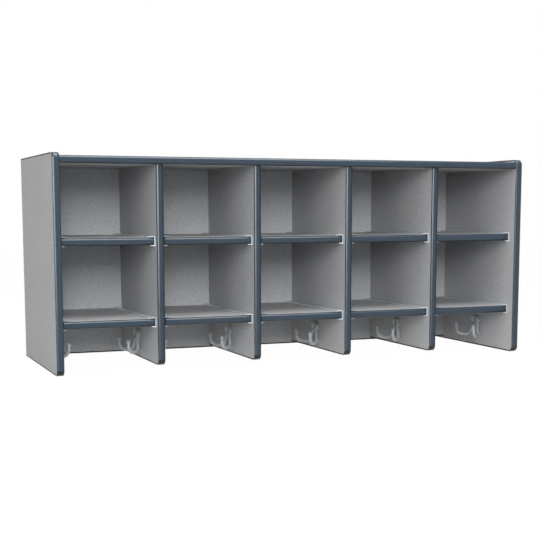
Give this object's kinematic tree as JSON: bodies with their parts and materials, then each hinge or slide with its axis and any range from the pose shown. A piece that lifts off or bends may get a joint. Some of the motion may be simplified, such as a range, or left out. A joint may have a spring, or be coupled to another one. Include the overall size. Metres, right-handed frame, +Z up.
{
  "type": "wall locker",
  "caption": "Wall-hung coat locker with two rows of open cubbies over hook bays, in grey laminated board with dark blue edge bands, sliding shelves and double hooks.",
  "frame": {"origin": "under the middle of the overall box, level with the lower edges of the end panels", "axes": "+X along the width to the right as seen from the front, +Y from the front to the wall, +Z up"},
  "size_m": [1.232, 0.405, 0.5055],
  "materials": {
    "grey_laminate": "fine-textured matt laminate over particleboard",
    "navy_edge_band": "satin plastic edge band, rounded edges",
    "clear_channel": "clear extruded plastic",
    "hook_plastic": "smooth moulded plastic",
    "rail_timber": "planed softwood",
    "dowel_wood": "beech, unfinished",
    "plated_steel": "zinc plated",
    "bright_steel": "bright nickel plated",
    "cast_zinc": "die-cast, dull"
  },
  "bodies": {
    "carcass": {"left_end_panel": "grey_laminate", "left_end_band": "navy_edge_band", "divider_1_panel": "grey_laminate", "divider_1_band": "navy_edge_band", "divider_2_panel": "grey_laminate", "divider_2_band": "navy_edge_band", "divider_3_panel": "grey_laminate", "divider_3_band": "navy_edge_band", "divider_4_panel": "grey_laminate", "divider_4_band": "navy_edge_band", "right_end_panel": "grey_laminate", "right_end_band": "navy_edge_band", "top_panel": "grey_laminate", "top_band": "navy_edge_band", "back_panel": "grey_laminate", "hanging_rail": "rail_timber", "shelf_channels_1": "clear_channel", "shelf_channels_2": "clear_channel", "shelf_channels_3": "clear_channel", "shelf_channels_4": "clear_channel", "shelf_channels_5": "clear_channel", "left_hook_1": "hook_plastic", "right_hook_1": "hook_plastic", "left_hook_2": "hook_plastic", "right_hook_2": "hook_plastic", "left_hook_3": "hook_plastic", "right_hook_3": "hook_plastic", "left_hook_4": "hook_plastic", "right_hook_4": "hook_plastic", "left_hook_5": "hook_plastic", "right_hook_5": "hook_plastic", "top_screws": "plated_steel", "back_screws": "plated_steel", "rail_screws": "plated_steel", "channel_screws": "plated_steel", "hook_screws": "bright_steel", "cam_bolts": "plated_steel", "cam_locks": "cast_zinc", "dowels": "dowel_wood"},
    "lower_shelf_unit_1": {"lower_shelf_1": "grey_laminate", "lower_shelf_band_1": "navy_edge_band"},
    "upper_shelf_unit_1": {"upper_shelf_1": "grey_laminate", "upper_shelf_band_1": "navy_edge_band"},
    "lower_shelf_unit_2": {"lower_shelf_2": "grey_laminate", "lower_shelf_band_2": "navy_edge_band"},
    "upper_shelf_unit_2": {"upper_shelf_2": "grey_laminate", "upper_shelf_band_2": "navy_edge_band"},
    "lower_shelf_unit_3": {"lower_shelf_3": "grey_laminate", "lower_shelf_band_3": "navy_edge_band"},
    "upper_shelf_unit_3": {"upper_shelf_3": "grey_laminate", "upper_shelf_band_3": "navy_edge_band"},
    "lower_shelf_unit_4": {"lower_shelf_4": "grey_laminate", "lower_shelf_band_4": "navy_edge_band"},
    "upper_shelf_unit_4": {"upper_shelf_4": "grey_laminate", "upper_shelf_band_4": "navy_edge_band"},
    "lower_shelf_unit_5": {"lower_shelf_5": "grey_laminate", "lower_shelf_band_5": "navy_edge_band"},
    "upper_shelf_unit_5": {"upper_shelf_5": "grey_laminate", "upper_shelf_band_5": "navy_edge_band"}
  },
  "joints": [
    {"name": "lower_shelf_1_slide", "type": "slide", "parent": "carcass", "child": "lower_shelf_unit_1", "axis": [0, -1, 0], "range_m": [0, 0.32]},
    {"name": "upper_shelf_1_slide", "type": "slide", "parent": "carcass", "child": "upper_shelf_unit_1", "axis": [0, -1, 0], "range_m": [0, 0.32]},
    {"name": "lower_shelf_2_slide", "type": "slide", "parent": "carcass", "child": "lower_shelf_unit_2", "axis": [0, -1, 0], "range_m": [0, 0.32]},
    {"name": "upper_shelf_2_slide", "type": "slide", "parent": "carcass", "child": "upper_shelf_unit_2", "axis": [0, -1, 0], "range_m": [0, 0.32]},
    {"name": "lower_shelf_3_slide", "type": "slide", "parent": "carcass", "child": "lower_shelf_unit_3", "axis": [0, -1, 0], "range_m": [0, 0.32]},
    {"name": "upper_shelf_3_slide", "type": "slide", "parent": "carcass", "child": "upper_shelf_unit_3", "axis": [0, -1, 0], "range_m": [0, 0.32]},
    {"name": "lower_shelf_4_slide", "type": "slide", "parent": "carcass", "child": "lower_shelf_unit_4", "axis": [0, -1, 0], "range_m": [0, 0.32]},
    {"name": "upper_shelf_4_slide", "type": "slide", "parent": "carcass", "child": "upper_shelf_unit_4", "axis": [0, -1, 0], "range_m": [0, 0.32]},
    {"name": "lower_shelf_5_slide", "type": "slide", "parent": "carcass", "child": "lower_shelf_unit_5", "axis": [0, -1, 0], "range_m": [0, 0.32]},
    {"name": "upper_shelf_5_slide", "type": "slide", "parent": "carcass", "child": "upper_shelf_unit_5", "axis": [0, -1, 0], "range_m": [0, 0.32]}
  ]
}
